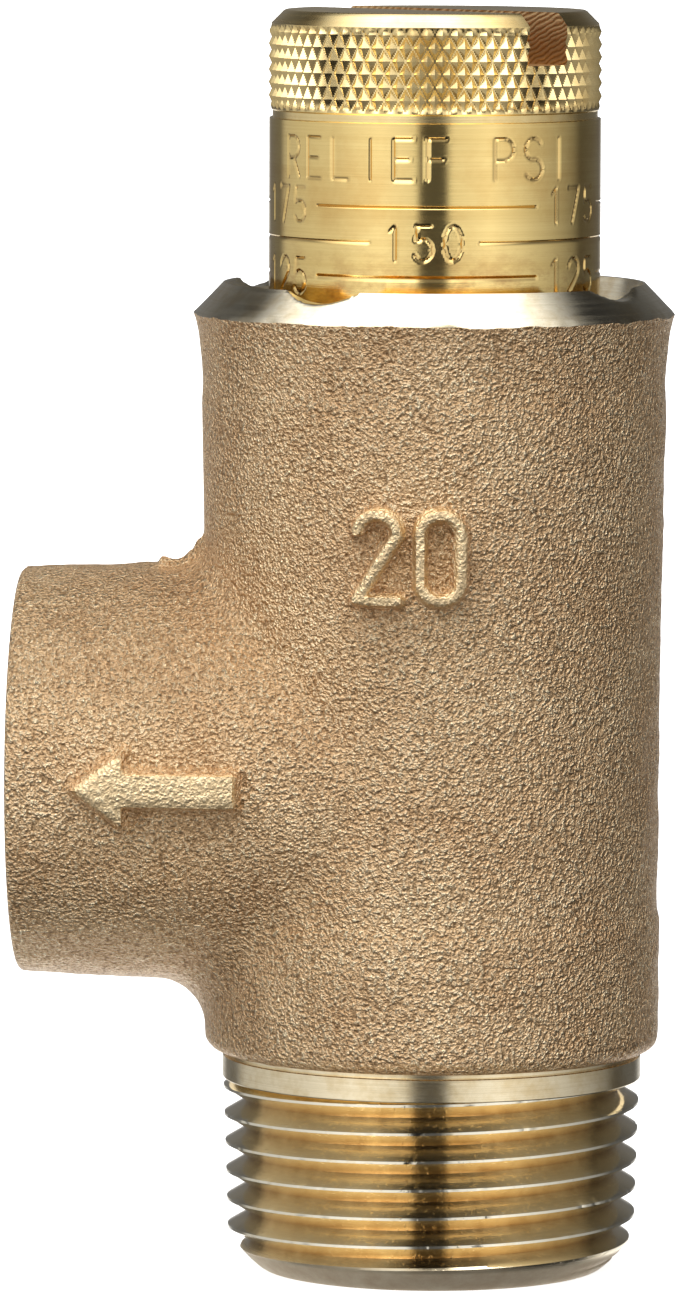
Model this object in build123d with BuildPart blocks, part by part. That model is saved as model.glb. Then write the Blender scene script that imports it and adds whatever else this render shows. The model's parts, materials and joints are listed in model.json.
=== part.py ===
"""Adjustable pressure relief valve with a male pipe-thread inlet and a female side outlet.

Frame: millimetres, +Z up along the valve's axis, origin at the centre of the inlet's end face.
The outlet boss points along -X and the flow arrow is on the -Y side.
"""
import math
import os

from build123d import *

os.makedirs("parts", exist_ok=True)

# Inlet spigot: tapered 3/4-14 pipe thread, a plain land above it and a narrow neck
thread_pitch = 25.4 / 14
thread_taper = 1 / 32  # radius gained along the length
inlet_end_radius = 13.02
thread_length = 12.1
thread_depth = 1.36
thread_flank_angle = 30.0
thread_phase_z = 2.99  # height of one groove above +X
groove_mouth = 0.12  # how far the cutting profile stands outside the blank
groove_overlap = 1.02  # each turn of the cut runs slightly into the next
end_bevel_radius = 10.9
end_bevel_height = 2.2
land_radius = 13.46
land_height = 1.75
neck_radius = 13.1
neck_height = 0.3

# Cast body, measured outwards from the bore that takes the cap's collar
trunk_wall = 2.85
trunk_draft = 0.45
crown_flare = 0.55
crown_flare_height = 3.55
crown_bevel_height = 1.95
skirt_proud = 0.18
skirt_top_z = 22.8
cast_edge = 1.1

# Outlet boss: a 1/2-14 tapered mouth, a plain tapping bore and a narrower port into the chamber
outlet_z = 32.1
tapping_radius = 9.13
mouth_step = 1.32
mouth_depth = 12.0
port_radius = 7.6
port_lip = 0.8
boss_wall = 2.62
boss_reach = 26.5
boss_fillet = 2.4

# Flow arrow and size mark, raised on the casting
mark_height = 0.65
arrow_tip_x = -22.4
arrow_length = 10.8
arrow_head_length = 3.6
arrow_head_width = 5.2
arrow_shaft_width = 2.3
digit_height = 5.4
digit_width = 2.5
digit_pitch = 3.9
digit_stroke = 0.85
size_mark_x = -0.8
size_mark_z = 47.0

# Waterway, seat and bores, from the inlet up
waterway_radius = 8.3
waterway_length = 13.0
seat_radius = 6.35
seat_z = 20.0
seat_lip = 0.6
seat_tube_wall = 1.8
chamber_step = 0.6
chamber_floor_z = 17.0
recess_step = 0.6
recess_depth = 3.7
recess_flare = 0.85
recess_below_collar = 0.2

# Stakes punched into the rim
stake_count = 4
stake_radius = 5.0
stake_depth = 0.75
stake_bearing = -29.0
stake_reach = 4.0

# Adjusting cap
cap_top_z = 80.9
cap_radius = 10.6
cap_wall = 1.6
cap_bottom_z = 48.0
cap_crown_thickness = 9.9
cap_chamfer = 0.85
knurl_proud = 0.06
knurl_bottom_z = 74.55
cap_groove_depth = 0.15
cap_groove_height = 0.5
collar_step = 1.34
collar_height = 6.0
collar_chamfer = 0.5
slot_width = 3.3
slot_depth = 3.3
slot_bearing = -46.0
travel_down = 5.25
travel_up = 6.0
travel_end_clearance = 0.25

# Fits
screw_clearance = 0.06
guide_clearance = 0.08
button_clearance = 0.10
seat_fit = 0.02
ball_clearance = 0.05

# Spring
wire_diameter = 2.3
coil_clearance = 0.65
coil_count = 10.5

# Poppet
seat_disc_thickness = 2.4
seat_disc_overlap = 1.55
disc_proud = 0.5
holder_wall = 1.5
holder_height = 6.5
pilot_height = 4.6
spring_gap = 0.35
wing_count = 4
wing_thickness = 2.2
wing_bearing = 45.0
rest_thickness = 0.8
clamp_washer_radius = 4.6
clamp_washer_thickness = 0.8
screw_radius = 1.75
screw_length = 7.0
screw_head_radius = 3.1
screw_head_height = 1.7
screw_slot_width = 0.9
screw_slot_depth = 0.8

# Upper spring button and ball
ball_radius = 2.38
button_flange_thickness = 2.2
button_boss_radius = 5.0
button_pilot_height = 4.5
button_top_below_ball = 0.4
socket_floor = 1.8
button_edge = 0.4

# Heights and radii that follow from the sizes above
land_top_z = thread_length + land_height
cast_bottom_z = land_top_z + neck_height
collar_radius = cap_radius + collar_step
collar_top_z = cap_bottom_z + collar_height
screw_bore_radius = collar_radius + screw_clearance
screw_bore_z = cap_bottom_z - travel_down - travel_end_clearance
chamber_radius = screw_bore_radius - chamber_step
recess_radius = screw_bore_radius + recess_step
recess_floor_z = collar_top_z + travel_up - recess_below_collar
rim_radius = recess_radius + recess_flare
rim_z = recess_floor_z + recess_depth
trunk_top_radius = screw_bore_radius + trunk_wall
trunk_base_radius = trunk_top_radius - trunk_draft
crown_radius = trunk_top_radius + crown_flare
crown_z = rim_z - crown_bevel_height
trunk_top_z = crown_z - crown_flare_height
shoulder_reach = chamber_radius + port_lip
mouth_radius = tapping_radius + mouth_step
boss_radius = mouth_radius + boss_wall
cap_bore_radius = cap_radius - cap_wall
cap_ceiling_z = cap_top_z - cap_crown_thickness
coil_radius = cap_bore_radius - coil_clearance - wire_diameter / 2
disc_radius = seat_radius + seat_disc_overlap
holder_radius = disc_radius + holder_wall
holder_bottom_z = seat_z + disc_proud
disc_top_z = seat_z + seat_disc_thickness
holder_top_z = holder_bottom_z + holder_height
pilot_radius = coil_radius - wire_diameter / 2 - spring_gap
spring_bottom_z = holder_top_z + rest_thickness
ball_z = cap_ceiling_z - ball_clearance - ball_radius
button_top_z = ball_z - button_top_below_ball
button_flange_top_z = ball_z - ball_radius - seat_fit - socket_floor
spring_top_z = button_flange_top_z - button_flange_thickness


def ring_plane(bearing):
    """Upright plane through the valve's axis whose normal points along the bearing from +X."""
    direction = Vector(1, 0, 0).rotate(Axis.Z, bearing)
    return Plane(origin=(0, 0, 0), x_dir=direction.rotate(Axis.Z, 90), z_dir=direction)


# Raised flow arrow: a flat arrow pushed through a shell just proud of the boss
with BuildPart() as flow_arrow:
    with BuildSketch(Plane.XZ):
        with BuildLine():
            head_x = arrow_tip_x + arrow_head_length
            tail_x = arrow_tip_x + arrow_length
            Polyline(
                (arrow_tip_x, outlet_z),
                (head_x, outlet_z + arrow_head_width / 2),
                (head_x, outlet_z + arrow_shaft_width / 2),
                (tail_x, outlet_z + arrow_shaft_width / 2),
                (tail_x, outlet_z - arrow_shaft_width / 2),
                (head_x, outlet_z - arrow_shaft_width / 2),
                (head_x, outlet_z - arrow_head_width / 2),
                close=True,
            )
        make_face()
    extrude(amount=boss_radius * 2)
    with BuildSketch(Plane.YZ):
        with Locations((0, outlet_z)):
            Circle(boss_radius + mark_height)
    extrude(amount=boss_reach * 2, both=True, mode=Mode.INTERSECT)

# Raised size mark, the two digits of the nominal bore in millimetres
with BuildPart() as size_mark:
    with BuildSketch(Plane.XZ):
        left = size_mark_x - digit_pitch / 2 - digit_width / 2
        foot = size_mark_z - digit_height / 2
        bowl = digit_width / 2
        with BuildLine():
            arch = ThreePointArc(
                (left, foot + digit_height - bowl),
                (left + bowl, foot + digit_height),
                (left + digit_width, foot + digit_height - bowl),
            )
            neck = Line(arch @ 1, (left, foot))
            Line(neck @ 1, (left + digit_width, foot))
        trace(line_width=digit_stroke)
        with Locations((size_mark_x + digit_pitch / 2, size_mark_z)):
            SlotOverall(digit_height + digit_stroke, digit_width + digit_stroke, rotation=90)
            SlotOverall(
                digit_height - digit_stroke,
                digit_width - digit_stroke,
                rotation=90,
                mode=Mode.SUBTRACT,
            )
    extrude(amount=crown_radius * 2)
    with BuildSketch(Plane.XY):
        Circle(trunk_top_radius + mark_height)
    extrude(amount=rim_z, mode=Mode.INTERSECT)

# Inlet spigot: end bevel, tapered blank, land and neck, with the pipe thread cut turn by turn
with BuildPart() as inlet_spigot:
    with BuildSketch(Plane.XZ):
        with BuildLine():
            bevel_top_radius = inlet_end_radius + end_bevel_height * thread_taper
            Polyline(
                (0, 0),
                (end_bevel_radius, 0),
                (bevel_top_radius, end_bevel_height),
                (inlet_end_radius + thread_length * thread_taper, thread_length),
                (land_radius, thread_length),
                (land_radius, land_top_z),
                (neck_radius, land_top_z),
                (neck_radius, cast_bottom_z + cast_edge),
                (0, cast_bottom_z + cast_edge),
                close=True,
            )
        make_face()
    revolve(axis=Axis.Z)
    first_turn_z = thread_phase_z - math.ceil(thread_phase_z / thread_pitch) * thread_pitch
    turn_count = math.floor((thread_length - first_turn_z) / thread_pitch)
    groove_half = (thread_depth + groove_mouth) * math.tan(math.radians(thread_flank_angle))
    for turn in range(turn_count):
        turn_z = first_turn_z + turn * thread_pitch
        with BuildLine():
            groove_path = Helix(
                pitch=thread_pitch,
                height=thread_pitch * groove_overlap,
                radius=inlet_end_radius + turn_z * thread_taper,
                center=(0, 0, turn_z),
                cone_angle=math.degrees(math.atan(thread_taper)),
            )
        with BuildSketch(Plane(origin=groove_path @ 0, x_dir=(1, 0, 0), z_dir=groove_path % 0)):
            with BuildLine():
                Polyline(
                    (groove_mouth, groove_half),
                    (-thread_depth, 0),
                    (groove_mouth, -groove_half),
                    close=True,
                )
            make_face()
        sweep(path=groove_path, is_frenet=True, mode=Mode.SUBTRACT)

# Bronze casting: trunk, outlet boss, spigot and rim, then bored and staked
with BuildPart() as valve_body:
    with BuildSketch(Plane.XZ):
        with BuildLine():
            Polyline(
                (0, cast_bottom_z),
                (trunk_base_radius - cast_edge, cast_bottom_z),
                (trunk_base_radius, cast_bottom_z + cast_edge),
                (trunk_top_radius, trunk_top_z),
                (crown_radius, crown_z),
                (rim_radius, rim_z),
                (0, rim_z),
                close=True,
            )
        make_face()
    revolve(axis=Axis.Z)
    with BuildSketch(Plane(origin=(0, 0, outlet_z), x_dir=(0, 1, 0), z_dir=(-1, 0, 0))):
        Circle(boss_radius)
    extrude(amount=boss_reach)
    joint_edges = valve_body.edges(Select.LAST).filter_by(GeomType.CIRCLE, reverse=True)
    fillet(joint_edges.filter_by(GeomType.LINE, reverse=True), radius=boss_fillet)
    add(flow_arrow.part)
    add(size_mark.part)
    # skirt round the foot of the casting
    with BuildSketch(Plane.XZ):
        with BuildLine():
            Polyline(
                (trunk_base_radius - 1.0, cast_bottom_z + cast_edge),
                (trunk_base_radius + skirt_proud, cast_bottom_z + cast_edge),
                (trunk_base_radius + skirt_proud, skirt_top_z),
                (trunk_base_radius - 1.0, skirt_top_z + 1.0),
                close=True,
            )
        make_face()
    revolve(axis=Axis.Z)
    add(inlet_spigot.part)
    # waterway, seat nozzle, chamber, cap bore and top recess
    with BuildSketch(Plane.XZ):
        with BuildLine():
            throat_z = waterway_length + waterway_radius - seat_radius
            lip_radius = seat_radius + seat_lip
            nozzle_radius = seat_radius + seat_tube_wall
            nozzle_z = seat_z - (nozzle_radius - lip_radius)
            Polyline(
                (0, -1),
                (waterway_radius, -1),
                (waterway_radius, waterway_length),
                (seat_radius, throat_z),
                (seat_radius, seat_z),
                (lip_radius, seat_z),
                (nozzle_radius, nozzle_z),
                (nozzle_radius, chamber_floor_z),
                (chamber_radius, chamber_floor_z),
                (chamber_radius, screw_bore_z),
                (screw_bore_radius, screw_bore_z),
                (screw_bore_radius, recess_floor_z),
                (recess_radius, recess_floor_z),
                (rim_radius, rim_z),
                (rim_radius, rim_z + 1),
                (0, rim_z + 1),
                close=True,
            )
        make_face()
    revolve(axis=Axis.Z, mode=Mode.SUBTRACT)
    # outlet: port, plain tapping bore, then the tapered mouth
    with BuildSketch(Plane(origin=(0, 0, outlet_z), x_dir=(0, 1, 0), z_dir=(-1, 0, 0))):
        Circle(port_radius)
    extrude(amount=boss_reach, mode=Mode.SUBTRACT)
    with BuildSketch(Plane(origin=(-boss_reach, 0, outlet_z), x_dir=(0, 1, 0), z_dir=(1, 0, 0))):
        Circle(tapping_radius)
    extrude(amount=boss_reach - shoulder_reach, mode=Mode.SUBTRACT)
    with BuildSketch(Plane(origin=(-boss_reach, 0, outlet_z), x_dir=(0, 1, 0), z_dir=(1, 0, 0))):
        Circle(mouth_radius)
    extrude(amount=mouth_depth, taper=math.degrees(math.atan(thread_taper)), mode=Mode.SUBTRACT)
    # stakes that stop the cap from being screwed right out
    for turn in range(stake_count):
        stake_plane = ring_plane(stake_bearing + turn * 360 / stake_count)
        with BuildSketch(stake_plane.offset(recess_radius - stake_reach / 2)):
            with Locations((0, rim_z + stake_radius - stake_depth)):
                Circle(stake_radius)
        extrude(amount=stake_reach, mode=Mode.SUBTRACT)
valve_body.part.label = "valve_body"
export_step(valve_body.part, "parts/valve_body.step")

# Brass adjusting cap: knurled head, calibrated barrel and the screwed collar inside the body
with BuildPart() as adjusting_cap:
    with BuildSketch(Plane.XZ):
        with BuildLine():
            knurl_radius = cap_radius + knurl_proud
            groove_bottom_z = knurl_bottom_z - cap_groove_height
            Polyline(
                (0, cap_ceiling_z),
                (cap_bore_radius, cap_ceiling_z),
                (cap_bore_radius, cap_bottom_z),
                (collar_radius - collar_chamfer, cap_bottom_z),
                (collar_radius, cap_bottom_z + collar_chamfer),
                (collar_radius, collar_top_z - collar_chamfer),
                (collar_radius - collar_chamfer, collar_top_z),
                (cap_radius, collar_top_z),
                (cap_radius, groove_bottom_z),
                (cap_radius - cap_groove_depth, groove_bottom_z),
                (cap_radius - cap_groove_depth, knurl_bottom_z),
                (knurl_radius, knurl_bottom_z),
                (knurl_radius, cap_top_z - cap_chamfer),
                (knurl_radius - cap_chamfer, cap_top_z),
                (0, cap_top_z),
                close=True,
            )
        make_face()
    revolve(axis=Axis.Z)
    with BuildSketch(Plane.XY.offset(cap_top_z)):
        Rectangle(cap_radius * 3, slot_width, rotation=slot_bearing)
    extrude(amount=-slot_depth, mode=Mode.SUBTRACT)
adjusting_cap.part.label = "adjusting_cap"
export_step(adjusting_cap.part, "parts/adjusting_cap.step")

# Steel ball that lets the cap turn without winding up the spring
with BuildPart() as thrust_ball:
    with Locations((0, 0, ball_z)):
        Sphere(ball_radius)
thrust_ball.part.label = "thrust_ball"
export_step(thrust_ball.part, "parts/thrust_ball.step")

# Upper spring button: flange on the spring, pilot inside it, boss with the ball's socket
with BuildPart() as upper_spring_button:
    with BuildSketch(Plane.XZ):
        with BuildLine():
            flange_radius = cap_bore_radius - button_clearance
            Polyline(
                (0, spring_top_z - button_pilot_height),
                (pilot_radius - button_edge, spring_top_z - button_pilot_height),
                (pilot_radius, spring_top_z - button_pilot_height + button_edge),
                (pilot_radius, spring_top_z),
                (flange_radius - button_edge, spring_top_z),
                (flange_radius, spring_top_z + button_edge),
                (flange_radius, button_flange_top_z - button_edge),
                (flange_radius - button_edge, button_flange_top_z),
                (button_boss_radius, button_flange_top_z),
                (button_boss_radius, button_top_z - button_edge),
                (button_boss_radius - button_edge, button_top_z),
                (0, button_top_z),
                close=True,
            )
        make_face()
    revolve(axis=Axis.Z)
    with Locations((0, 0, ball_z)):
        Sphere(ball_radius + seat_fit, mode=Mode.SUBTRACT)
upper_spring_button.part.label = "upper_spring_button"
export_step(upper_spring_button.part, "parts/upper_spring_button.step")

# Stainless spring, wound open and ground flat at both ends
with BuildPart() as relief_spring:
    spring_length = spring_top_z - spring_bottom_z
    coil_pitch = (spring_length + wire_diameter / 2) / coil_count
    with BuildLine():
        coil_path = Helix(
            pitch=coil_pitch,
            height=coil_pitch * coil_count,
            radius=coil_radius,
            center=(0, 0, spring_bottom_z - wire_diameter / 4),
        )
    with BuildSketch(Plane(origin=coil_path @ 0, x_dir=(1, 0, 0), z_dir=coil_path % 0)):
        Circle(wire_diameter / 2)
    sweep(path=coil_path, is_frenet=True)
    with BuildSketch(Plane.XY.offset(spring_bottom_z)):
        Circle(coil_radius + wire_diameter)
    extrude(amount=spring_length, mode=Mode.INTERSECT)
relief_spring.part.label = "relief_spring"
export_step(relief_spring.part, "parts/relief_spring.step")

# Hardened ring between the spring's lower end and the disc holder
with BuildPart() as spring_rest:
    with BuildSketch(Plane.XY.offset(holder_top_z)):
        Circle(coil_radius + wire_diameter / 2 + spring_gap)
        Circle(pilot_radius + seat_fit, mode=Mode.SUBTRACT)
    extrude(amount=rest_thickness)
spring_rest.part.label = "spring_rest"
export_step(spring_rest.part, "parts/spring_rest.step")

# Brass disc holder: cup for the seat disc, spring pilot above, wings that run in the chamber
with BuildPart() as disc_holder:
    with BuildSketch(Plane.XY.offset(holder_bottom_z)):
        for pair in range(wing_count // 2):
            wing_turn = wing_bearing + pair * 360 / wing_count
            Rectangle(chamber_radius * 3, wing_thickness, rotation=wing_turn)
        Circle(chamber_radius - guide_clearance, mode=Mode.INTERSECT)
        Circle(holder_radius)
    extrude(amount=holder_height)
    with BuildSketch(Plane.XY.offset(holder_top_z)):
        Circle(pilot_radius)
    extrude(amount=pilot_height)
    with BuildSketch(Plane.XY.offset(disc_top_z)):
        Circle(disc_radius + seat_fit)
    extrude(amount=holder_bottom_z - disc_top_z, mode=Mode.SUBTRACT)
    with BuildSketch(Plane.XY.offset(disc_top_z)):
        Circle(screw_radius + seat_fit)
    extrude(amount=screw_length, mode=Mode.SUBTRACT)
disc_holder.part.label = "disc_holder"
export_step(disc_holder.part, "parts/disc_holder.step")

# Rubber seat disc that closes on the seat's lip
with BuildPart() as seat_disc:
    with BuildSketch(Plane.XY.offset(seat_z)):
        Circle(disc_radius)
        Circle(screw_radius + seat_fit, mode=Mode.SUBTRACT)
    extrude(amount=seat_disc_thickness)
seat_disc.part.label = "seat_disc"
export_step(seat_disc.part, "parts/seat_disc.step")

# Washer that clamps the middle of the seat disc
with BuildPart() as disc_washer:
    with BuildSketch(Plane.XY.offset(seat_z)):
        Circle(clamp_washer_radius)
        Circle(screw_radius + seat_fit, mode=Mode.SUBTRACT)
    extrude(amount=-clamp_washer_thickness)
disc_washer.part.label = "disc_washer"
export_step(disc_washer.part, "parts/disc_washer.step")

# Slotted screw up through the washer and disc into the holder
with BuildPart() as disc_screw:
    head_top_z = seat_z - clamp_washer_thickness
    with BuildSketch(Plane.XY.offset(head_top_z)):
        Circle(screw_head_radius)
    extrude(amount=-screw_head_height)
    with BuildSketch(Plane.XY.offset(head_top_z)):
        Circle(screw_radius)
    extrude(amount=disc_top_z + screw_length - seat_fit - head_top_z)
    with BuildSketch(Plane.XY.offset(head_top_z - screw_head_height)):
        Rectangle(screw_head_radius * 3, screw_slot_width)
    extrude(amount=screw_slot_depth, mode=Mode.SUBTRACT)
disc_screw.part.label = "disc_screw"
export_step(disc_screw.part, "parts/disc_screw.step")
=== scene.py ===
"""Adjustable pressure relief valve: cast bronze body, knurled brass cap and the working pieces inside."""
import json
import math

import bmesh
import bpy
import numpy as np
from mathutils import Matrix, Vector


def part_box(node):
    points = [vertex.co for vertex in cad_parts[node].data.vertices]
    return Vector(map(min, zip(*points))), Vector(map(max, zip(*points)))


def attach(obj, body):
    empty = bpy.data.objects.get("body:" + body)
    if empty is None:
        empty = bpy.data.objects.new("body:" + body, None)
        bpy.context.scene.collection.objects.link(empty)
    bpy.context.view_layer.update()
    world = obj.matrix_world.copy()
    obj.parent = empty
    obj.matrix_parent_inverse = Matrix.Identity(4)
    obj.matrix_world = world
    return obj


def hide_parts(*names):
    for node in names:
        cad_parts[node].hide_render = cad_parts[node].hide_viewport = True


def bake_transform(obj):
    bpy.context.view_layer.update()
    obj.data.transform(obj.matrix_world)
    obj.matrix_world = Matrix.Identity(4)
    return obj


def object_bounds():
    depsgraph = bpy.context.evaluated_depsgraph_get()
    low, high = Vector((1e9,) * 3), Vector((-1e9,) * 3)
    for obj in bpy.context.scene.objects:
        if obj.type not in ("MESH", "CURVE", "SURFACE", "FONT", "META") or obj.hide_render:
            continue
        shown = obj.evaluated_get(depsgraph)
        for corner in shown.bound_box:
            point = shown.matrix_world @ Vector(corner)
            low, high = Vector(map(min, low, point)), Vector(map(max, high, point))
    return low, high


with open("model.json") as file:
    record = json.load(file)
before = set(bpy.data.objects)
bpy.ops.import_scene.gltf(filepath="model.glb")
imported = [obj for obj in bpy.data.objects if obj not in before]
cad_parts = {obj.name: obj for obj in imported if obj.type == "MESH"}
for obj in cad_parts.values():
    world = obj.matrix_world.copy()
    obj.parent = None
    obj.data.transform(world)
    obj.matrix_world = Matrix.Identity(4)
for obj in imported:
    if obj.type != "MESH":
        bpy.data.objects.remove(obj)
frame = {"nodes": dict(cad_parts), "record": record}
cad_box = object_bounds()
mounts = {mount["name"]: mount for mount in frame["record"]["mounts"]}
mm = 0.001


# --------------------------------------------------------------------
# Valve body. The real one is a sand-cast bronze trunk with the outlet boss cast on its side and
# a flow arrow and a size mark standing on the skin. Its top bevel, rim, bores and seat are turned,
# and four punch marks in the rim stop the cap from being screwed right out.

body_low, body_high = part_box("valve_body")
rim_z = body_high.z / mm
crown_radius = body_high.x / mm
boss_end_x = body_low.x / mm
outlet_z = mounts["outlet_port"]["pos_m"][2] / mm
tapping_radius = mounts["outlet_port"]["dims"]["r_mm"]
waterway_radius = mounts["inlet_waterway"]["dims"]["r_mm"]
waterway_length = mounts["inlet_waterway"]["dims"]["length_mm"]
skirt_radius = 14.6
boss_radius = 13.0
boss_draft = 0.045
boss_axis_z = outlet_z - 0.15
boss_edge = 0.4
cast_bottom_z = 14.15
cast_edge = 1.1
crown_z = rim_z - 1.95
rim_radius = 13.45
recess_radius = 12.6
recess_z = rim_z - 3.7
screw_bore_radius = 12.0
screw_bore_z = 42.5
chamber_radius = 11.4
chamber_floor_z = 17.0
seat_radius = 6.35
seat_z = 20.0
seat_lip = 0.6
nozzle_radius = 8.15
port_radius = 7.6
shoulder_x = -12.2
socket_radius = 10.95
stake_bearings = (-29, 61, 151, 241)
stake_radius = 5.0
stake_depth = 0.75
mark_height = 0.75
arrow_height = 0.95
arrow_edge = 0.6
digit_edge = 0.42


def add_points(store, grid):
    """Appends a grid of points to the store and gives back their numbers in the same grid."""
    start = sum(len(part) for part in store)
    store.append(grid.reshape(-1, 3))
    return start + np.arange(grid[..., 0].size).reshape(grid.shape[:-1])


def quads(grid, closed=True):
    """Four-cornered faces between neighbouring numbers of a grid, which may close on itself sideways."""
    if closed:
        grid = np.hstack([grid, grid[:, :1]])
    return np.stack([grid[:-1, :-1], grid[:-1, 1:], grid[1:, 1:], grid[1:, :-1]], axis=-1)


def bands(rings, closed=True):
    """Faces between rings of numbers, each ring joined to the next."""
    return quads(np.vstack(rings), closed).reshape(-1, 4)


def step_down(fine, coarse):
    """Flat ring of faces from a fine ring of numbers to one with a quarter as many."""
    runs = np.stack([np.roll(fine, -k)[::4] for k in range(5)], axis=-1)
    return np.column_stack([runs, np.roll(coarse, -1), coarse])


def border(grid):
    """The outermost entries of a grid, once round from its first corner."""
    return np.concatenate([grid[0, :-1], grid[:-1, -1], grid[-1, :0:-1], grid[:0:-1, 0]])


def turned(radii, heights, angles):
    """Points of a profile of radii and heights turned about the Z axis."""
    radii, heights = np.broadcast_arrays(np.atleast_2d(radii.T).T, np.atleast_2d(heights.T).T)
    radii = radii * np.ones(len(angles))
    return np.stack([radii * np.cos(angles), radii * np.sin(angles), heights * np.ones(len(angles))], axis=-1)


def along(corners, step):
    """Points along straight runs between corners, no more than one step apart, corners included."""
    corners = np.array(corners, float)
    runs = np.diff(corners, axis=0)
    counts = np.ceil(np.hypot(*runs.T) / step).astype(int)
    pieces = [corners[i] + runs[i] * np.arange(counts[i])[:, None] / counts[i] for i in range(len(runs))]
    return np.vstack(pieces + [corners[-1:]])


def waves(points, lengths, seed, count=28):
    """Gentle unevenness, mostly from -1 to 1: sine waves of the given lengths in mixed directions, summed."""
    mixer = np.random.default_rng(seed)
    directions = mixer.normal(size=(count, 3))
    directions /= np.linalg.norm(directions, axis=1)[:, None]
    steps = 2 * np.pi / mixer.uniform(*lengths, size=count)
    offsets = mixer.uniform(0, 2 * np.pi, size=count)
    return np.sin(points @ (directions * steps[:, None]).T + offsets).sum(axis=-1) / 6


def shown(name, data):
    """New object made of the data, in the scene."""
    made = bpy.data.objects.new(name, data)
    bpy.context.scene.collection.objects.link(made)
    return made


def solid(name, store, faces, materials, weld=None, sharp=32.0):
    """Closed mesh object from points in millimetres and blocks of faces, each with its material's number."""
    mesh = bpy.data.meshes.new(name)
    corners = [row for block, _ in faces for row in block.tolist()]
    mesh.from_pydata((np.vstack(store) * mm).tolist(), [], corners)
    numbers = np.concatenate([np.full(len(block), number) for block, number in faces])
    mesh.polygons.foreach_set("material_index", numbers.astype(np.int32))
    for material in materials:
        mesh.materials.append(material)
    work = bmesh.new()
    work.from_mesh(mesh)
    if weld:
        bmesh.ops.remove_doubles(work, verts=work.verts, dist=weld * mm)
        bmesh.ops.dissolve_degenerate(work, edges=work.edges, dist=weld * mm)
    bmesh.ops.recalc_face_normals(work, faces=work.faces)
    if work.calc_volume(signed=True) < 0:
        bmesh.ops.reverse_faces(work, faces=work.faces)
    work.to_mesh(mesh)
    work.free()
    mesh.shade_smooth()
    mesh.set_sharp_from_angle(angle=math.radians(sharp))
    return shown(name, mesh)


def finish(name, colour, metallic=1.0, roughness=0.3):
    """New material: its node tree and its shader, with the finish that is the same all over."""
    material = bpy.data.materials.new(name)
    material.use_nodes = True
    tree = material.node_tree
    shader = tree.nodes["Principled BSDF"]
    shader.inputs["Base Color"].default_value = (*colour, 1)
    shader.inputs["Metallic"].default_value = metallic
    shader.inputs["Roughness"].default_value = roughness
    return material, tree, shader


def node(tree, kind, inputs=None, **settings):
    """One node, its settings given by name and its inputs as values or as the sockets that feed them."""
    made = tree.nodes.new("ShaderNode" + kind)
    for key, value in settings.items():
        setattr(made, key, value)
    for key, value in (inputs or {}).items():
        if isinstance(value, bpy.types.NodeSocket):
            tree.links.new(value, made.inputs[key])
        else:
            made.inputs[key].default_value = value
    return made


def placed(tree, scale=(1, 1, 1)):
    """Object coordinates in metres, stretched by a scale along each axis."""
    own = node(tree, "TexCoord").outputs["Object"]
    return node(tree, "Mapping", {"Vector": own, "Scale": scale}).outputs[0]


def worked(way, *values):
    """Outcome of one step of arithmetic. The first value is a socket, the others sockets or numbers."""
    return node(values[0].id_data, "Math", dict(enumerate(values)), operation=way).outputs[0]


def reach(vector, aim):
    """How far a vector goes along an aim: their dot product."""
    inputs = {0: vector, 1: aim}
    return node(vector.id_data, "VectorMath", inputs, operation="DOT_PRODUCT").outputs["Value"]


def split(vector):
    """The three sockets of a vector's parts."""
    return node(vector.id_data, "SeparateXYZ", {"Vector": vector}).outputs


def noise(vector, scale, detail=3.0, rough=0.55):
    """Value of soft noise with about this many lumps to the metre."""
    inputs = {"Vector": vector, "Scale": scale, "Detail": detail, "Roughness": rough}
    return node(vector.id_data, "TexNoise", inputs).outputs["Fac"]


def spread(value, low, high, to_low, to_high):
    """A value carried from one range to another and held at the ends."""
    inputs = {"Value": value, "From Min": low, "From Max": high, "To Min": to_low, "To Max": to_high}
    return node(value.id_data, "MapRange", inputs).outputs["Result"]


def shades(value, stops):
    """Colours strung along a value from 0 to 1."""
    ramp = node(value.id_data, "ValToRGB", {"Fac": value})
    marks = ramp.color_ramp.elements
    for mark, (position, colour) in zip(marks, (stops[0], stops[-1])):
        mark.position = position
        mark.color = (*colour, 1)
    for position, colour in stops[1:-1]:
        marks.new(position).color = (*colour, 1)
    return ramp.outputs["Color"]


def blended(share, first, second, way="MIX"):
    """Two colours mixed, the second by its share. The first is a socket."""
    if isinstance(second, tuple):
        second = (*second, 1)
    inputs = {0: share, 6: first, 7: second}
    return node(first.id_data, "Mix", inputs, data_type="RGBA", blend_type=way).outputs[2]


def raised(shader, height, depth, strength=1.0, under=None):
    """Bump of a depth in metres from a height value, over another bump if there is one."""
    inputs = {"Height": height, "Distance": depth, "Strength": strength}
    if under is not None:
        inputs["Normal"] = under
    bump = node(shader.id_data, "Bump", inputs).outputs["Normal"]
    shader.id_data.links.new(bump, shader.inputs["Normal"])
    return bump


def coat(shader, colour, rough=None):
    """Leads a colour, and a roughness if there is one, into a shader."""
    shader.id_data.links.new(colour, shader.inputs["Base Color"])
    if rough is not None:
        shader.id_data.links.new(rough, shader.inputs["Roughness"])


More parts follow.
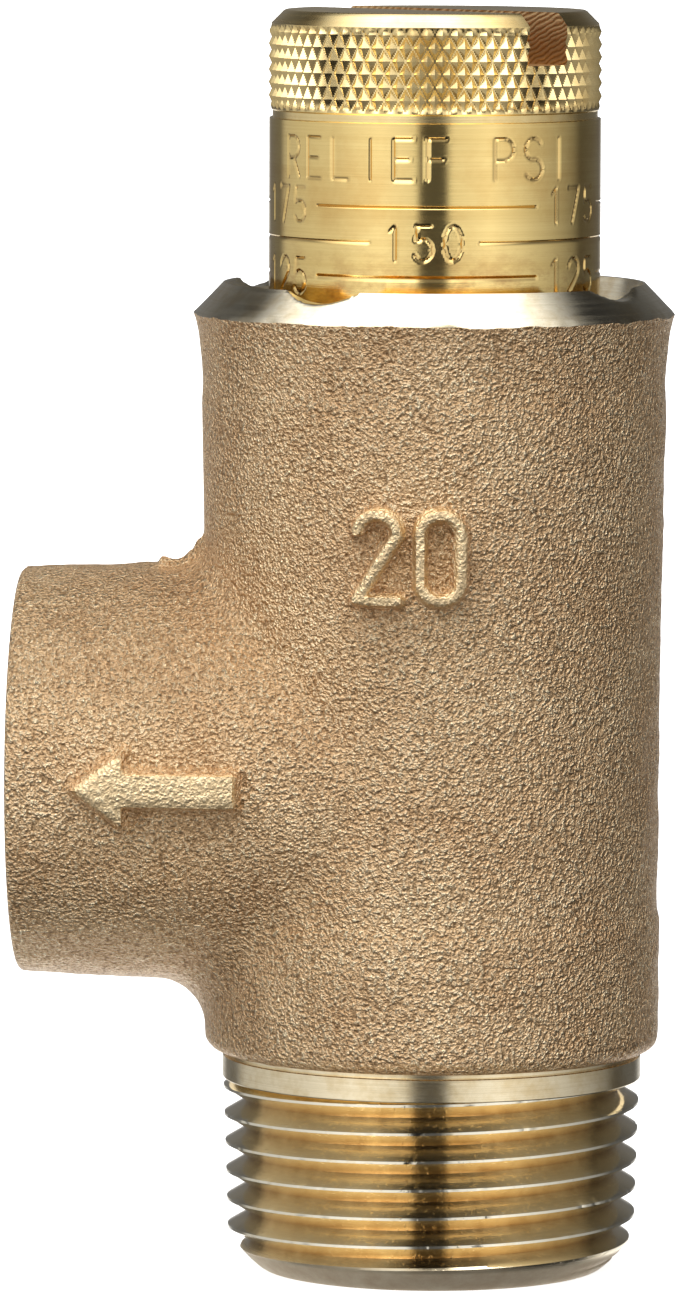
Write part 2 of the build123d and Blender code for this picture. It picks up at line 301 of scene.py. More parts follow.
def sand_cast_bronze():
    """Bronze from a sand mould and a shot blast: grains 0.3 mm across that catch the light one by one."""
    material, tree, shader = finish("sand_cast_bronze", (0.6, 0.45, 0.3))
    place = placed(tree)
    fine = noise(place, 7600, detail=2, rough=0.6)
    coarse = noise(place, 3400, detail=2)
    cells = node(tree, "TexVoronoi", {"Vector": place, "Scale": 5200.0}, feature="SMOOTH_F1")
    patches = noise(place, 170, detail=3)
    height = worked("SUBTRACT", worked("ADD", fine, coarse), cells.outputs["Distance"])
    level = spread(height, 0.2, 1.05, 0, 1)
    skin = shades(level, [
        (0, (0.47, 0.31, 0.165)), (0.45, (0.86, 0.60, 0.345)), (1, (1.0, 0.90, 0.64)),
    ])
    tone = shades(patches, [(0.3, (0.80, 0.72, 0.66)), (0.7, (1.0, 1.0, 1.0))])
    skin = blended(0.8, skin, tone, "MULTIPLY")
    # what stands proud of the skin on the front, the arrow and the digits, is rubbed smooth
    front = reach(place, (-boss_draft, -1.0, 0.0))
    flat = (boss_radius - boss_draft * boss_end_x) * mm
    proud = spread(front, flat + 0.60 * mm, flat + 0.78 * mm, 0, 1)
    below = spread(split(place)[2], 50.5 * mm, 51.0 * mm, 1, 0)
    rubbed = worked("MULTIPLY", proud, below)
    share = worked("MULTIPLY", rubbed, 0.55)
    coat(shader, blended(share, skin, (0.85, 0.68, 0.40)), spread(level, 0, 1, 0.44, 0.22))
    depth = spread(rubbed, 0, 1, 1.0, 0.4)
    first = raised(shader, coarse, 0.00024, depth)
    raised(shader, height, 0.00020, depth, first)
    return material


def turned_bronze(name="turned_bronze", colour=(0.95, 0.86, 0.66), deep=(0.80, 0.66, 0.43)):
    """Bronze fresh from the lathe: a pale metal with fine tool lines round the axis and a few stains."""
    material, tree, shader = finish(name, colour, roughness=0.24)
    lines = noise(placed(tree, (60, 60, 9000)), 1.0, detail=4, rough=0.7)
    stains = noise(placed(tree), 420, detail=4, rough=0.65)
    tint = shades(stains, [(0.34, deep), (0.56, colour)])
    lined = shades(lines, [(0.3, (0.86, 0.84, 0.8)), (0.6, (1.0, 1.0, 1.0))])
    coat(shader, blended(0.7, tint, lined, "MULTIPLY"), spread(lines, 0.3, 0.7, 0.24, 0.11))
    raised(shader, lines, 0.000008, 0.4)
    return material


def trunk_radius(height):
    """Radius of the cast trunk by height: a skirt, a slight draft, a bulge and the flared crown."""
    heights = [15.25, 22.5, 23.3, 37.0, 49.5, 55.8, 57.0, 58.4, 60.3, crown_z]
    radii = [skirt_radius, skirt_radius, 14.45, 14.58, 14.74, 14.87, 14.80, 14.87, 15.08, crown_radius - 0.03]
    return np.interp(height, heights, radii)


def skin_gap(points):
    """Distance outside the cast skin: trunk and boss joined by a round fillet, tighter on top than below."""
    x, y, z = points[..., 0], points[..., 1], points[..., 2] - boss_axis_z
    trunk_r = np.hypot(x, y)
    boss_r = np.hypot(y, z)
    trunk = trunk_r - trunk_radius(points[..., 2])
    boss = boss_r - boss_radius - boss_draft * (x - boss_end_x)
    facing = y * y / (trunk_r * boss_r)
    fillet = (2.3 - 0.6 * z / boss_r) * (1 - facing) + 0.05
    inside = np.hypot(np.maximum(fillet - trunk, 0), np.maximum(fillet - boss, 0))
    return np.maximum(fillet, np.minimum(trunk, boss)) - inside


def onto_skin(points):
    """Points moved square to the skin until they lie on it."""
    reach = 1e-4
    for _ in range(8):
        gap = skin_gap(points)
        slope = np.stack([skin_gap(points + reach * axis) - gap for axis in np.eye(3)], axis=-1) / reach
        points = points - (gap / (slope**2).sum(axis=-1))[..., None] * slope
    return points


def from_line(x, z, start, end):
    """Distance in the XZ plane from a straight stroke."""
    run = np.subtract(end, start)
    share = np.clip(((x - start[0]) * run[0] + (z - start[1]) * run[1]) / max(run @ run, 1e-9), 0, 1)
    return np.hypot(x - start[0] - share * run[0], z - start[1] - share * run[1])


def flow_arrow(x, z):
    """Distance outside the flow arrow, negative within: a head that narrows to its tip, and a shaft."""
    tip_x, length, head, half_head, half_shaft = -22.4, 10.8, 3.6, 2.6, 1.15
    across = np.abs(z - outlet_z)
    slope = math.hypot(head, half_head)
    head_gap = np.maximum((across * head - (x - tip_x) * half_head) / slope, x - tip_x - head)
    shaft_gap = np.maximum(np.maximum(across - half_shaft, x - tip_x - length), tip_x + head / 2 - x)
    return np.minimum(head_gap, shaft_gap)


def size_mark(x, z):
    """Distance outside the two raised digits of the nominal bore, negative within their strokes."""
    centre_x, centre_z, height, width, pitch, stroke = -0.8, 47.0, 5.4, 2.5, 3.9, 0.85
    left, foot, bowl = centre_x - pitch / 2 - width / 2, centre_z - height / 2, width / 2
    arch_z = foot + height - bowl
    arch = np.abs(np.hypot(x - left - bowl, z - arch_z) - bowl) + np.maximum(arch_z - z, 0) * 4
    neck = from_line(x, z, (left + width, arch_z), (left, foot))
    base = from_line(x, z, (left, foot), (left + width, foot))
    right = centre_x + pitch / 2
    ring = np.abs(from_line(x, z, (right, foot + bowl), (right, arch_z)) - bowl)
    return np.minimum.reduce([arch, neck, base, ring]) - stroke / 2


def cast_skin(points):
    """The skin's points with the mould's unevenness, the arrow on the boss and the digits on the trunk."""
    x, y, z = points[..., 0], points[..., 1], points[..., 2]
    ring = np.stack([x, y, 0 * z], axis=-1) / np.hypot(x, y)[..., None]
    tube = np.stack([0 * x, y, z - outlet_z], axis=-1) / np.hypot(y, z - outlet_z)[..., None]
    on_boss = np.clip((-x - 9.0) / 2, 0, 1)[..., None]
    outward = ring * (1 - on_boss) + tube * on_boss
    outward /= np.linalg.norm(outward, axis=-1)[..., None]
    calm = np.clip((crown_z - 0.4 - z) / 2, 0, 1)
    uneven = (0.045 * waves(points, (2.4, 7.0), 5) + 0.016 * waves(points, (0.9, 1.6), 9)) * calm
    front = y < 0
    rise = np.where(front & (x < -9), np.clip(0.5 - flow_arrow(x, z) / arrow_edge, 0, 1), 0)
    digits = np.where(front & (x > -6), np.clip(0.5 - size_mark(x, z) / digit_edge, 0, 1), 0)
    rise = (rise**2 * (3 - 2 * rise))[..., None]
    digits = (digits**2 * (3 - 2 * digits))[..., None]
    # a run of flash where the boss meets the trunk on top, ragged along its length
    on_top = np.clip(z - boss_axis_z - 11.5, 0, 1) * np.clip((x + 18.0) / 1.2, 0, 1)
    on_top = on_top * np.clip((47.6 - z) / 1.2, 0, 1) * (x < -12)
    flash = np.exp(-((y + 1.3) / 0.5) ** 2) * on_top * (0.6 + 0.3 * waves(points, (0.9, 1.8), 14))
    lift = np.array([-0.55, 0, 0.83])
    return (points + outward * uneven[..., None] + lift * flash[..., None]
            + arrow_height * tube * rise + mark_height * ring * digits)


def punched(points):
    """The rim with its stakes: four round-nosed dents, each a cylinder laid on the radius."""
    angles = np.arctan2(points[..., 1], points[..., 0])
    radii = np.hypot(points[..., 0], points[..., 1])
    for bearing in stake_bearings:
        turn = angles - math.radians(bearing)
        across = np.clip(np.abs(radii * np.sin(turn)), 0, stake_radius)
        floor = rim_z + stake_radius - stake_depth - np.sqrt(stake_radius**2 - across**2)
        floor = np.where(np.cos(turn) > 0, floor, rim_z + 1)
        points[..., 2] = np.minimum(points[..., 2], floor)
    return points


def cast_body():
    """Closed body. Its skin is a grid of heights and bearings with a window, where the boss grows in rings:
    straight paths over the trunk and out along the boss, then settled on the skin. Turned surfaces inside
    have a quarter as many points round."""
    store, faces = [], []
    bearings = np.radians(np.concatenate([
        np.linspace(102.5, 250, 104, endpoint=False),
        np.linspace(250, 290, 64, endpoint=False),
        np.linspace(290, 462.5, 120, endpoint=False),
    ]))
    window_columns, window_rows = 116, 108
    heights = np.concatenate([
        np.linspace(15.5, 43.5, 76, endpoint=False),
        np.linspace(43.5, 49.0, 32, endpoint=False),
        np.linspace(49.0, 50.6, 10, endpoint=False),
        np.linspace(50.6, crown_z - 0.35, 28),
    ])
    skin = turned(trunk_radius(heights), heights, bearings)
    window = skin[:window_rows + 1, :window_columns + 1]
    edge = border(window)
    # boss: rings from the window's edge to the foot of the boss, then along it
    half_window = 16.2
    arc = np.arctan2(edge[:, 1], -edge[:, 0]) * -skirt_radius
    rise = edge[:, 2] - boss_axis_z
    around = np.arctan2(rise / boss_radius, arc / half_window)
    foot_arc = skirt_radius * np.arcsin(boss_radius * np.cos(around) / skirt_radius)
    foot_rise = boss_radius * np.sin(around)
    foot_x = -skirt_radius * np.cos(foot_arc / skirt_radius)
    on_trunk = np.hypot(foot_arc - arc, foot_rise - rise)
    on_boss = foot_x - boss_end_x - boss_edge
    share = np.linspace(0, 1, 86)[1:, None] * (on_trunk + on_boss)
    part = np.minimum(share / on_trunk, 1)
    path_arc = arc + (foot_arc - arc) * part
    path_rise = rise + (foot_rise - rise) * part
    path_radius = trunk_radius(path_rise + boss_axis_z)
    path = np.stack([
        -path_radius * np.cos(path_arc / skirt_radius) - np.maximum(share - on_trunk, 0),
        -path_radius * np.sin(path_arc / skirt_radius),
        path_rise + boss_axis_z,
    ], axis=-1)
    path = onto_skin(path)
    skin_numbers = add_points(store, cast_skin(skin))
    skin_faces = quads(skin_numbers)
    keep = np.ones(skin_faces.shape[:2], bool)
    keep[:window_rows, :window_columns] = False
    faces.append((skin_faces[keep], 0))
    boss_numbers = add_points(store, cast_skin(path))
    edge_numbers = border(skin_numbers[:window_rows + 1, :window_columns + 1])
    faces.append((bands([edge_numbers[None], boss_numbers]), 0))
    # foot of the casting: a rounded edge, then the flat underside
    bend = np.radians(np.linspace(0, 90, 8))[1:]
    foot_profile = np.column_stack([
        skirt_radius - cast_edge * (1 - np.cos(bend)),
        cast_bottom_z + cast_edge * (1 - np.sin(bend)),
    ])
    foot_numbers = add_points(store, cast_skin(turned(*foot_profile.T, bearings)))
    faces.append((bands([skin_numbers[:1], foot_numbers]), 0))
    # turned top: crown edge, bevel, knife rim and recess
    top = np.vstack([
        along([(crown_radius, crown_z), (rim_radius + 0.05, rim_z)], 0.3),
        along([(rim_radius - 0.07, rim_z - 0.04), (recess_radius, recess_z)], 0.36),
    ])
    top_points = turned(*top.T, bearings)
    ragged = 0.07 * waves(top_points[0], (0.8, 3.0), 21)
    top_points[0, :, 2] += ragged - 0.05
    top_points[1:, :, 0:2] *= 1 + 0.0008 * waves(top_points[1:], (2.0, 6.0), 3)[..., None]
    top_numbers = add_points(store, punched(top_points))
    faces.append((bands([skin_numbers[-1:], top_numbers[:1]]), 0))
    faces.append((bands(top_numbers), 1))
    # bore, chamber, nozzle and seat, with the port's window in the chamber wall
    coarse = bearings[::4]
    port_columns, port_rows = window_columns // 4, window_rows // 4
    low, high = chamber_floor_z + 1.5, screw_bore_z - 1.0
    upper = along([(screw_bore_radius, recess_z), (screw_bore_radius, screw_bore_z),
                   (chamber_radius, screw_bore_z), (chamber_radius, high + 0.4)], 1.5)
    wall = np.column_stack([np.full(port_rows + 1, chamber_radius), np.linspace(high, low, port_rows + 1)])
    throat_z = waterway_length + waterway_radius - seat_radius
    mouth_radius = seat_radius + throat_z - cast_bottom_z
    nozzle_z = seat_z - (nozzle_radius - seat_radius - seat_lip)
    lower = np.array([
        (chamber_radius, chamber_floor_z + 0.3), (chamber_radius - 0.3, chamber_floor_z),
        (nozzle_radius + 0.3, chamber_floor_z), (nozzle_radius, chamber_floor_z + 0.3),
        (nozzle_radius, nozzle_z), (seat_radius + seat_lip, seat_z), (seat_radius, seat_z),
        (seat_radius, seat_z - 2), (seat_radius, throat_z), (mouth_radius, cast_bottom_z),
        (mouth_radius + 2.5, cast_bottom_z), (11.5, cast_bottom_z),
    ])
    bore = np.vstack([upper, wall, lower])
    bore_numbers = add_points(store, turned(*bore.T, coarse))
    bore_faces = quads(bore_numbers)
    keep = np.ones(bore_faces.shape[:2], bool)
    first = len(upper)
    keep[first:first + port_rows, :port_columns] = False
    faces.append((bore_faces[keep], 1))
    faces.append((step_down(top_numbers[-1], bore_numbers[0]), 1))
    faces.append((step_down(foot_numbers[-1], bore_numbers[-1]), 0))
    # port edge, tapping bore and mouth, in rings round the outlet's axis
    port_edge = border(bore_numbers[first:first + port_rows + 1, :port_columns + 1][::-1])
    port_around = around[::4]
    side, lift = -np.cos(port_around), np.sin(port_around)
    start = np.vstack(store)[port_edge]
    port_y, port_z = port_radius * side, outlet_z + port_radius * lift
    port_x = -np.sqrt(chamber_radius**2 - port_y**2)
    start_angle = np.arctan2(start[:, 1], -start[:, 0])
    port_angle = np.arctan2(port_y, -port_x)
    fraction = np.linspace(0, 1, 6)[1:, None]
    angle = start_angle + (port_angle - start_angle) * fraction
    lip = np.stack([
        -chamber_radius * np.cos(angle),
        chamber_radius * np.sin(angle),
        start[:, 2] + (port_z - start[:, 2]) * fraction,
    ], axis=-1)
    steps = np.array([
        (shoulder_x, port_radius), (shoulder_x, tapping_radius - 0.2), (shoulder_x - 0.2, tapping_radius),
        (-14.5, tapping_radius), (-14.5, socket_radius), (boss_end_x + 0.5, socket_radius),
        (boss_end_x, socket_radius + 0.35), (boss_end_x, 12.0),
    ])
    outlet = np.stack([
        steps[:, :1] * np.ones(len(side)), steps[:, 1:] * side, outlet_z + steps[:, 1:] * lift,
    ], axis=-1)
    outlet_numbers = add_points(store, np.concatenate([lip, outlet]))
    faces.append((bands([port_edge[None], outlet_numbers]), 1))
    # rounded rim of the boss and its end face
    curve = np.radians(np.linspace(0, 90, 6))[1:, None]
    rim_r = boss_radius - boss_edge * (1 - np.cos(curve))
    rim_x = boss_end_x + boss_edge * (1 - np.sin(curve)) * np.ones(len(around))
    rim = np.stack([rim_x, -rim_r * np.cos(around), boss_axis_z + rim_r * np.sin(around)], axis=-1)
    rim_numbers = add_points(store, rim)
    faces.append((bands([boss_numbers[-1:], rim_numbers]), 0))
    faces.append((step_down(rim_numbers[-1], outlet_numbers[-1]), 1))
    return solid("cast_body", store, faces, [sand_cast_bronze(), turned_bronze()], sharp=38.0)


body = cast_body()
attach(body, "casting")
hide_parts("valve_body")


# --------------------------------------------------------------------
# Inlet spigot, one with the casting. It is turned from the cast stub and cut with a right-hand
# tapered pipe thread. A plain land and a narrow neck separate the thread from the rough casting.

thread_pitch = 25.4 / 14
thread_taper = 1 / 32
spigot_radius = 13.02
thread_top_z = 12.35
thread_depth = 1.43
groove_z = 2.64
land_radius = mounts["inlet_land"]["dims"]["r_mm"]
land_top_z = mounts["inlet_land"]["pos_m"][2] / mm + mounts["inlet_land"]["dims"]["length_mm"] / 2
neck_radius = 13.1
bevel_radius = 10.9
bevel_z = 2.2


def thread_rows(low, high, groove, depth, crest_steps=2, flank_steps=5):
    """Heights of a thread's rows over one turn, so that rows lie on each root and each edge of a crest.
    At angle t a row stands at its height plus a pitch for each full turn of t, held between the ends."""
    half = depth * math.tan(math.radians(30))
    crest = thread_pitch - 2 * half
    flank = half * np.arange(flank_steps) / flank_steps
    turn = np.concatenate([
        flank, half + crest * np.arange(crest_steps) / crest_steps, half + crest + flank,
    ])
    first = math.floor((low - groove) / thread_pitch) - 1
    last = math.ceil((high - groove) / thread_pitch) + 1
    rows = np.concatenate([groove + (first + k) * thread_pitch + turn for k in range(last - first)])
    angles = np.linspace(0, 2 * np.pi, 361)
    return angles, np.clip(rows[:, None] + thread_pitch * angles / (2 * np.pi), low, high)


def groove_cut(angles, heights, groove, depth, root):
    """Depth of a 60 degree groove at an angle and a height, with a narrow flat at its root."""
    turns = (heights - groove) / thread_pitch - angles / (2 * np.pi)
    from_root = np.abs(turns - np.round(turns)) * thread_pitch
    return np.clip(depth - from_root / math.tan(math.radians(30)), 0, depth - root)


def threaded_bronze():
    """Cut thread: bright crests, tool chatter on the flanks and brown tarnish towards the roots."""
    material, tree, shader = finish("threaded_bronze", (0.8, 0.6, 0.35), roughness=0.25)
    place = placed(tree)
    parts = split(place)
    squares = [worked("POWER", parts[k], 2.0) for k in (0, 1)]
    radius = worked("SQRT", worked("ADD", *squares))
    level = worked("SUBTRACT", radius, worked("MULTIPLY", parts[2], thread_taper))
    crest = spread(level, (spigot_radius - thread_depth) * mm, spigot_radius * mm, 0, 1)
    blotch = noise(place, 700, detail=4, rough=0.7)
    worn = worked("MULTIPLY_ADD", worked("SUBTRACT", blotch, 0.5), 0.7, crest)
    tint = shades(worn, [
        (0.0, (0.68, 0.51, 0.29)), (0.4, (0.92, 0.76, 0.49)), (0.85, (0.95, 0.82, 0.57)),
        (1.0, (0.98, 0.91, 0.74)),
    ])
    # the end bevel is only rough turned, so it stays dull
    dull = spread(parts[2], 1.2 * mm, 1.7 * mm, 1, 0)
    plain = shades(blotch, [(0.3, (0.84, 0.68, 0.48)), (0.7, (1.0, 0.88, 0.68))])
    lines = noise(placed(tree, (150, 150, 7000)), 1.0, detail=4, rough=0.7)
    smooth = spread(lines, 0.3, 0.7, 0.15, 0.06)
    coat(shader, blended(dull, tint, plain), worked("MULTIPLY_ADD", dull, 0.5, smooth))
    specks = noise(place, 3500, detail=2)
    first = raised(shader, lines, 0.000012, 0.4)
    raised(shader, spread(specks, 0.62, 0.72, 0, 1), 0.00002, 0.3, first)
    return material


def inlet_spigot():
    """Closed ring. Outside, the radius is the taper less the groove, held within the end bevel."""
    store, faces = [], []
    angles, heights = thread_rows(0, thread_top_z, groove_z, thread_depth)
    cut = groove_cut(angles, heights, groove_z, thread_depth, 0.06)
    radii = spigot_radius + heights * thread_taper - cut
    bevel_top = spigot_radius + bevel_z * thread_taper
    bevel = bevel_radius + (bevel_top - bevel_radius) * np.minimum(heights / bevel_z, 1) ** 0.8
    radii = np.where(heights < bevel_z, np.minimum(radii, bevel), radii)
    thread = np.stack([radii * np.cos(angles), radii * np.sin(angles), heights], axis=-1)
    chips = np.clip(waves(thread, (0.5, 2.2), 31) - 0.9, 0, 1) * 0.10
    thread[..., :2] *= (1 - chips / radii * (cut < 0.25))[..., None]
    throat = waterway_length + waterway_radius - cast_bottom_z
    rest = np.array([
        (land_radius - 0.05, thread_top_z), (land_radius, thread_top_z + 0.07),
        (land_radius, land_top_z - 0.06), (land_radius - 0.08, land_top_z), (neck_radius, land_top_z),
        (neck_radius, cast_bottom_z + 0.5), (9.5, cast_bottom_z + 0.5), (throat, cast_bottom_z),
        (waterway_radius, waterway_length), (waterway_radius, 9.0), (waterway_radius, 4.5),
        (waterway_radius, 0.4), (waterway_radius + 0.4, 0),
    ])
    thread_numbers = add_points(store, thread)
    rest_numbers = add_points(store, turned(*rest.T, angles))
    faces.append((bands(thread_numbers, closed=False), 0))
    faces.append((bands([thread_numbers[-1:], rest_numbers, thread_numbers[:1]], closed=False), 1))
    finishes = [threaded_bronze(), turned_bronze("turned_land", (0.94, 0.81, 0.56), (0.80, 0.64, 0.38))]
    return solid("inlet_spigot", store, faces, finishes, weld=2e-4, sharp=25.0)


spigot = inlet_spigot()
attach(spigot, "casting")


# --------------------------------------------------------------------
# Outlet thread, the tapped mouth of the boss. A 1/2-14 female taper thread, cut in the bronze
# round the outlet's axis, for the discharge pipe.

outlet_depth = 12.0
outlet_root_radius = 10.6
outlet_depth_of_thread = 1.15


def outlet_thread():
    """Closed ring round the outlet's axis: inside, the taper less the ridges left between the grooves."""
    store, faces = [], []
    lead_z, groove = 0.35, 0.9
    angles, depths = thread_rows(lead_z, outlet_depth, groove, outlet_depth_of_thread)
    ridge = outlet_depth_of_thread - groove_cut(angles, depths, groove, outlet_depth_of_thread, 0.05)
    radii = outlet_root_radius - depths * thread_taper - ridge
    lead_in = outlet_root_radius + 0.1 - np.clip(depths - lead_z, 0, 2) * 0.8
    radii = np.maximum(radii, np.where(depths < 2.0, lead_in, 0))
    # the back of the ring is two more rows, at the deep end and at the mouth
    depths = np.vstack([depths, np.full_like(angles, outlet_depth), np.full_like(angles, lead_z)])
    radii = np.vstack([radii, np.full((2, len(angles)), socket_radius + 0.3)])
    ring = np.stack([boss_end_x + depths, radii * np.cos(angles), outlet_z + radii * np.sin(angles)], axis=-1)
    numbers = add_points(store, ring)
    faces.append((bands([numbers, numbers[:1]], closed=False), 0))
    tapped, tree, shader = finish("tapped_bronze", (0.74, 0.55, 0.30), roughness=0.3)
    blotch = noise(placed(tree), 600, detail=4, rough=0.7)
    tint = shades(blotch, [(0.3, (0.48, 0.31, 0.14)), (0.6, (0.84, 0.66, 0.38))])
    lines = noise(placed(tree, (6000, 120, 120)), 1.0, detail=3, rough=0.7)
    coat(shader, tint, spread(lines, 0.3, 0.7, 0.4, 0.22))
    raised(shader, lines, 0.00003, 0.5)
    return solid("outlet_thread", store, faces, [tapped], weld=2e-4, sharp=25.0)


tapped_mouth = outlet_thread()
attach(tapped_mouth, "casting")


# --------------------------------------------------------------------
# Adjusting cap, turned from brass bar. The head is diamond knurled for the fingers and has a
# milled slot for a driver; the barrel below carries an engraved pressure scale that is read
# against the body's rim, and its lower end is screwed into the body.

cap_low, cap_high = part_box("adjusting_cap")
cap_top_z = cap_high.z / mm
cap_bottom_z = cap_low.z / mm
collar_radius = cap_high.x / mm
cap_radius = 10.6
cap_bore_radius = 9.0
cap_ceiling_z = cap_top_z - 9.9
collar_top_z = cap_bottom_z + 6.0
head_bottom_z = 74.05
knurl_low, knurl_high = 74.62, 80.0
knurl_teeth = 70
knurl_steps = 12
knurl_depth = 0.37
slot_width = 3.3
slot_depth = 3.3
slot_bearing = -43.5


def turned_brass(name, colour, deep, stain_size=260, polish=(0.17, 0.07)):
    """Bright bar brass: tool lines round the axis, cloudy tarnish and small brown stains."""
    material, tree, shader = finish(name, colour, roughness=0.2)
    place = placed(tree)
    lines = noise(placed(tree, (70, 70, 8000)), 1.0, detail=4, rough=0.75)
    belts = noise(placed(tree, (14, 14, 900)), 1.0, detail=2)
    clouds = noise(place, stain_size, detail=5, rough=0.65)
    tint = shades(clouds, [(0.30, deep), (0.52, colour)])
    for pattern, low, dark in ((lines, 0.28, (0.84, 0.80, 0.74)), (belts, 0.35, (0.90, 0.86, 0.78))):
        tint = blended(0.6, tint, shades(pattern, [(low, dark), (0.6, (1.0, 1.0, 1.0))]), "MULTIPLY")
    coat(shader, tint, spread(lines, 0.3, 0.7, *polish))
    raised(shader, lines, 0.000008, 0.4)
    return material, tree, shader, tint


def milled_brass():
    """Slot floor and walls: a brown milled face with curved cutter lines across it."""
    material, tree, shader = finish("milled_brass", (0.60, 0.38, 0.18), roughness=0.4)
    centred = node(tree, "Mapping", {
        "Vector": node(tree, "TexCoord").outputs["Object"],
        "Location": (-0.034, 0.020, -0.055),
    }).outputs[0]
    rings = node(tree, "TexWave", {
        "Vector": centred, "Scale": 1100.0, "Distortion": 5.0, "Detail": 3.0, "Detail Scale": 1.0,
    }, wave_type="RINGS").outputs["Fac"]
    coat(shader, shades(rings, [
        (0.0, (0.44, 0.25, 0.10)), (0.5, (0.66, 0.43, 0.21)), (1.0, (0.76, 0.53, 0.28)),
    ]))
    raised(shader, rings, 0.00003, 0.6)
    return material


def cap_head():
    """Closed head. Over the knurl, the height of a tooth is the lesser of two triangle waves that wind
    opposite ways at 30 degrees, faded at both ends. The slot is then milled through the top."""
    store, faces = [], []
    tooth = 2 * np.pi * cap_radius / knurl_teeth
    row_step = tooth / math.tan(math.radians(30)) / knurl_steps
    rows = np.arange(knurl_low, knurl_high, row_step)
    angles = np.linspace(0, 2 * np.pi, knurl_teeth * knurl_steps + 1)[:-1]
    turns = angles * knurl_teeth / (2 * np.pi)
    climb = (rows[:, None] - rows[0]) / (row_step * knurl_steps)
    winding = [wave - np.floor(wave) for wave in (turns + climb, turns - climb)]
    tops = np.minimum(*[1 - 2 * np.abs(wave - 0.5) for wave in winding])
    fade = np.clip((rows - knurl_low) / 0.55, 0, 1) * np.clip((knurl_high - rows) / 0.6, 0, 1)
    fade = (fade**0.6)[:, None]
    blank = cap_radius - 0.13
    radii = blank + fade * (tops * knurl_depth - knurl_depth * 0.52)
    radii = np.minimum(radii, cap_radius + 0.07)
    knurl = turned(radii, rows[:, None] * np.ones(len(angles)), angles)
    under = np.array([
        (0, head_bottom_z - 0.4), (blank - 0.1, head_bottom_z - 0.4), (blank - 0.08, head_bottom_z),
        (blank - 0.08, knurl_low - 0.12), (blank, knurl_low - 0.03),
    ])
    bend = np.radians(np.linspace(0, 90, 5))
    edge, brow = 0.12, blank - 0.78
    above = np.vstack([
        [(blank, knurl_high + 0.02)],
        along([(blank, cap_top_z - 0.85), (brow, cap_top_z - edge * 0.5)], 0.3),
        np.column_stack([brow - edge * np.sin(bend), cap_top_z - edge * 0.5 * (1 - np.sin(bend))])[1:],
        [(7.5, cap_top_z), (4.5, cap_top_z), (1.5, cap_top_z), (0, cap_top_z)],
    ])
    numbers = add_points(store, np.concatenate([turned(*under.T, angles), knurl, turned(*above.T, angles)]))
    faces.append((bands(numbers), 0))
    brass, *_ = turned_brass("knurled_brass", (0.98, 0.77, 0.38), (0.86, 0.62, 0.26), polish=(0.28, 0.16))
    head = solid("cap_head", store, faces, [brass, milled_brass()], weld=2e-4, sharp=24.0)
    cutter_mesh = bpy.data.meshes.new("slot_cutter")
    shape = bmesh.new()
    bmesh.ops.create_cube(shape, size=1.0)
    sizes = np.array([3 * cap_radius, slot_width, 2 * slot_depth]) * mm
    bmesh.ops.scale(shape, vec=sizes, verts=shape.verts)
    spin = Matrix.Rotation(math.radians(slot_bearing), 4, "Z")
    bmesh.ops.transform(shape, matrix=Matrix.Translation((0, 0, cap_top_z * mm)) @ spin, verts=shape.verts)
    shape.to_mesh(cutter_mesh)
    shape.free()
    for material in head.data.materials:
        cutter_mesh.materials.append(material)
    cutter_mesh.polygons.foreach_set("material_index", np.ones(len(cutter_mesh.polygons), np.int32))
    cutter = shown("slot_cutter", cutter_mesh)
    milling = head.modifiers.new("slot", "BOOLEAN")
    milling.operation = "DIFFERENCE"
    milling.solver = "EXACT"
    milling.object = cutter
    bpy.context.view_layer.update()
    milled = head.evaluated_get(bpy.context.evaluated_depsgraph_get())
    cut = bpy.data.meshes.new_from_object(milled)
    head.modifiers.clear()
    head.data = cut
    cut.shade_smooth()
    cut.set_sharp_from_angle(angle=math.radians(24))
    bpy.data.objects.remove(cutter)
    return head


head = cap_head()
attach(head, "cap")
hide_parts("adjusting_cap")

scale_top = (175, 68.75)
scale_step = 2.25
scale_marks = 6
scale_bearing = -91.05
stroke_width = 0.15
stroke_depth = 0.09
digit_height = 2.2
letter_height = 2.6


def bow(centre, radii, start, end):
    """Points on a stretch of an ellipse, as one curved stroke."""
    turn = np.radians(np.linspace(start, end, 13))
    return np.column_stack([centre[0] + radii[0] * np.cos(turn), centre[1] + radii[1] * np.sin(turn)])


# each sign is a few strokes of an engraver's cutter in a cell one high, from 0 to 0.56 across
middle_bar = np.array([(0.04, 0.5), (0.42, 0.5)])
bowl = bow((0.28, 0.74), (0.25, 0.26), 90, -90)
post_and_bowl = np.vstack([[(0.04, 0), (0.04, 1), (0.28, 1)], bowl, [(0.04, 0.48)]])
signs = {
    "0": [bow((0.28, 0.5), (0.26, 0.5), 0, 360)],
    "1": [np.array([(0.14, 0.84), (0.30, 1.0), (0.30, 0)])],
    "2": [np.vstack([bow((0.28, 0.72), (0.26, 0.28), 170, -35), [(0.02, 0), (0.56, 0)]])],
    "5": [np.vstack([[(0.50, 1.0), (0.08, 1.0), (0.05, 0.56)], bow((0.26, 0.31), (0.28, 0.31), 125, -150)])],
    "7": [np.array([(0.02, 1.0), (0.54, 1.0), (0.20, 0)])],
    "E": [np.array([(0.50, 1), (0.04, 1), (0.04, 0), (0.50, 0)]), middle_bar],
    "F": [np.array([(0.50, 1), (0.04, 1), (0.04, 0)]), middle_bar],
    "I": [np.array([(0.28, 1), (0.28, 0)])],
    "L": [np.array([(0.04, 1), (0.04, 0), (0.50, 0)])],
    "P": [post_and_bowl],
    "R": [post_and_bowl, np.array([(0.30, 0.48), (0.54, 0)])],
    "S": [np.vstack([bow((0.28, 0.74), (0.25, 0.26), 30, 270), bow((0.28, 0.25), (0.26, 0.25), 90, -150)])],
}


